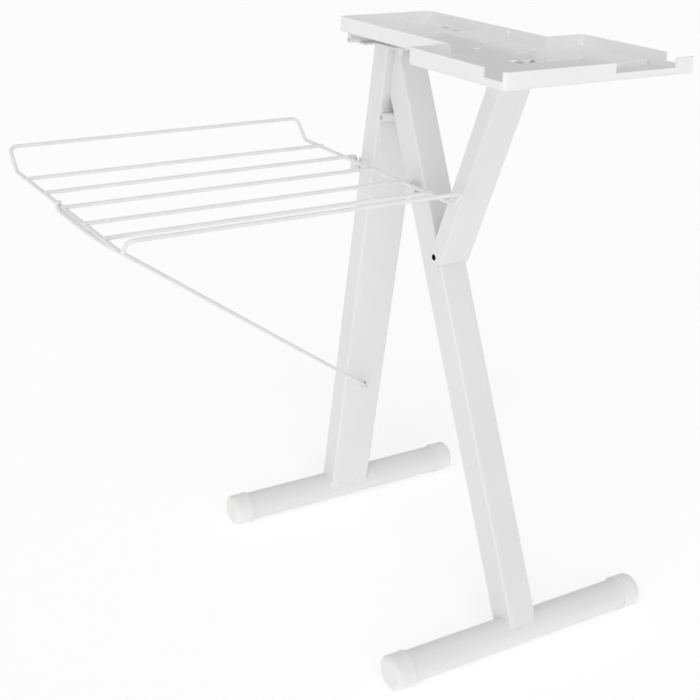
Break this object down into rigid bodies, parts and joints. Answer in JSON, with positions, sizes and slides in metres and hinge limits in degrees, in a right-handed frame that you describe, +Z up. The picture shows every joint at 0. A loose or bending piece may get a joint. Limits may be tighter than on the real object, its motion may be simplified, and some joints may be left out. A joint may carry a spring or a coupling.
{
  "type": "folding pressing-machine stand with tray and wire rack",
  "caption": "Free-standing folding stand: two hinged box-section legs on tube feet, a channel strut, a lift-up stepped tray and a side-hung wire rack with a brace.",
  "frame": {"origin": "on the floor, midway between the axes of the two foot tubes and in the legs' middle plane", "axes": "+Z up; +X from leg A's foot (hinge side of the tray) to leg B's foot; -Y is the side the wire rack hangs on"},
  "size_m": [0.5549, 0.6227, 0.71],
  "materials": {
    "painted_steel": "semi-gloss white powder coat with a fine orange peel",
    "coated_wire": "smooth satin white coating on steel wire",
    "white_plastic": "moulded white plastic, soft gloss",
    "bare_steel": "zinc-plated steel",
    "dark_steel": "unpainted phosphated steel"
  },
  "bodies": {
    "leg_a_base": {"leg_a": "painted_steel", "foot_tube_a": "painted_steel", "foot_cap_a_front": "white_plastic", "foot_cap_a_back": "white_plastic", "hinge_leaf_a": "painted_steel", "hinge_pin": "bare_steel", "top_plate": "painted_steel", "tray_hinge_pin": "bare_steel", "keeper_a": "painted_steel"},
    "leg_b_swing": {"leg_b": "painted_steel", "foot_tube_b": "painted_steel", "foot_cap_b_front": "white_plastic", "foot_cap_b_back": "white_plastic", "hinge_leaf_b": "painted_steel", "strut_pin": "dark_steel", "keeper_b": "painted_steel"},
    "strut_swing": {"strut": "painted_steel", "strut_tongue": "painted_steel"},
    "tray": {"tray_pan": "painted_steel", "tray_hinge_leaf": "painted_steel", "tray_backing_plate": "dark_steel", "backing_rivets": "bare_steel"},
    "brace": {"brace_wire": "coated_wire", "brace_eyes": "coated_wire"},
    "rack": {"rack_frame": "coated_wire", "cross_wire_1": "coated_wire", "cross_wire_2": "coated_wire", "cross_wire_3": "coated_wire", "cross_wire_4": "coated_wire", "cross_wire_5": "coated_wire"}
  },
  "joints": [
    {"name": "stand_fold", "type": "hinge", "parent": "leg_a_base", "child": "leg_b_swing", "pos_m": [-0.084, 0, 0.5935], "axis": [0, 1, 0], "range_deg": [0, 33]},
    {"name": "strut_fold", "type": "hinge", "parent": "leg_b_swing", "child": "strut_swing", "pos_m": [0.0275, 0, 0.446], "axis": [0, 1, 0], "range_deg": [-38, 0]},
    {"name": "tray_flip", "type": "hinge", "parent": "leg_a_base", "child": "tray", "pos_m": [-0.118, 0, 0.6835], "axis": [0, -1, 0], "range_deg": [0, 100]},
    {"name": "brace_unhook", "type": "slide", "parent": "leg_a_base", "child": "brace", "axis": [1, 0, 0], "range_m": [0, 0.007]},
    {"name": "rack_tilt", "type": "hinge", "parent": "brace", "child": "rack", "pos_m": [0, -0.433, 0.5295], "axis": [1, 0, 0], "range_deg": [0, 16]}
  ],
  "couplings": [
    {"joint": "strut_fold", "follows": "stand_fold", "ratio": -1.145}
  ]
}
